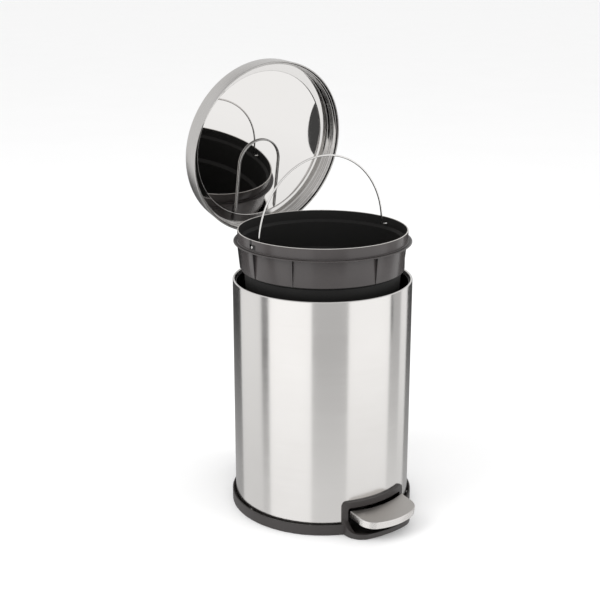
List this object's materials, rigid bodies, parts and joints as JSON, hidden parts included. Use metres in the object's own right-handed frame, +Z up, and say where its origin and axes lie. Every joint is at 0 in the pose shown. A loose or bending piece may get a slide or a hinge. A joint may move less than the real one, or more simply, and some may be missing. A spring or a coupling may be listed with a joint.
{
  "type": "pedal trash can",
  "caption": "Round steel step-on trash can with a hinged mirrored lid, a lift-out bucket with a wire bail, and a pedal that opens the lid through a lever and push rod.",
  "frame": {"origin": "floor level on the axis of the round body", "axes": "+Z up, -Y towards the pedal, +Y towards the hinge, +X to the right when looking along +Y"},
  "size_m": [0.3012, 0.3978, 0.7214],
  "materials": {
    "body_steel": "brushed around the body, satin",
    "lid_steel": "brushed around the rim, satin",
    "lid_trim": "polished pressed trim",
    "mirror_steel": "polished to a mirror",
    "bright_wire": "bright drawn wire",
    "pedal_steel": "satin, worn on top",
    "lever_steel": "zinc plated",
    "hinge_steel": "zinc plated",
    "plated_steel": "plated",
    "rivet_steel": "plain",
    "screw_steel": "plain",
    "base_plastic": "moulded, fine texture",
    "black_plastic": "moulded, fine texture",
    "bucket_plastic": "moulded, satin",
    "pad_rubber": "matt",
    "nylon": "natural nylon"
  },
  "bodies": {
    "bin": {"shell": "body_steel", "mouth_ring": "black_plastic", "base": "base_plastic", "floor_pad": "pad_rubber", "base_rivets": "rivet_steel", "pedal_axle": "plated_steel", "axle_caps": "base_plastic", "axle_cap_screws": "screw_steel", "rod_guides": "nylon", "rear_cover": "black_plastic", "cover_screws": "screw_steel", "hinge_bracket": "hinge_steel", "bracket_rivets": "rivet_steel", "hinge_pin": "plated_steel", "hinge_clips": "screw_steel"},
    "lid": {"lid_shell": "lid_steel", "lid_inner_ring": "lid_trim", "lid_mirror": "mirror_steel", "lid_wire_loop": "bright_wire", "loop_anchors": "black_plastic", "lid_knuckle": "hinge_steel", "crank": "hinge_steel", "lid_rivets": "rivet_steel"},
    "pedal": {"pedal_lever": "lever_steel", "lever_bush": "nylon", "lever_pin": "plated_steel", "pedal_cap": "pedal_steel", "pedal_tread": "base_plastic", "pedal_rivets": "rivet_steel"},
    "rod": {"push_rod": "plated_steel"},
    "bucket": {"bucket": "bucket_plastic"},
    "bail": {"bail_wire": "bright_wire"}
  },
  "joints": [
    {"name": "lid_hinge", "type": "hinge", "parent": "bin", "child": "lid", "pos_m": [0, 0.183, 0.395], "axis": [-1, 0, 0], "range_deg": [-80.5, 0]},
    {"name": "pedal_hinge", "type": "hinge", "parent": "bin", "child": "pedal", "pos_m": [0, -0.075, 0.02], "axis": [1, 0, 0], "range_deg": [-7.5, 0]},
    {"name": "rod_slide", "type": "slide", "parent": "bin", "child": "rod", "axis": [0, 0, 1], "range_m": [-0.03104, 0]},
    {"name": "bucket_lift", "type": "slide", "parent": "bin", "child": "bucket", "axis": [0, 0, 1], "range_m": [-0.06, 0.13]},
    {"name": "bail_hinge", "type": "hinge", "parent": "bucket", "child": "bail", "pos_m": [0, 0, 0.455], "axis": [1, 0, 0], "range_deg": [-90, 90]}
  ],
  "couplings": [
    {"joint": "pedal_hinge", "follows": "lid_hinge", "ratio": 0.093167},
    {"joint": "rod_slide", "follows": "lid_hinge", "m_per_rad": 0.022095},
    {"joint": "bucket_lift", "follows": "lid_hinge", "m_per_rad": 0.042704},
    {"joint": "bail_hinge", "follows": "lid_hinge", "ratio": -1.118}
  ]
}
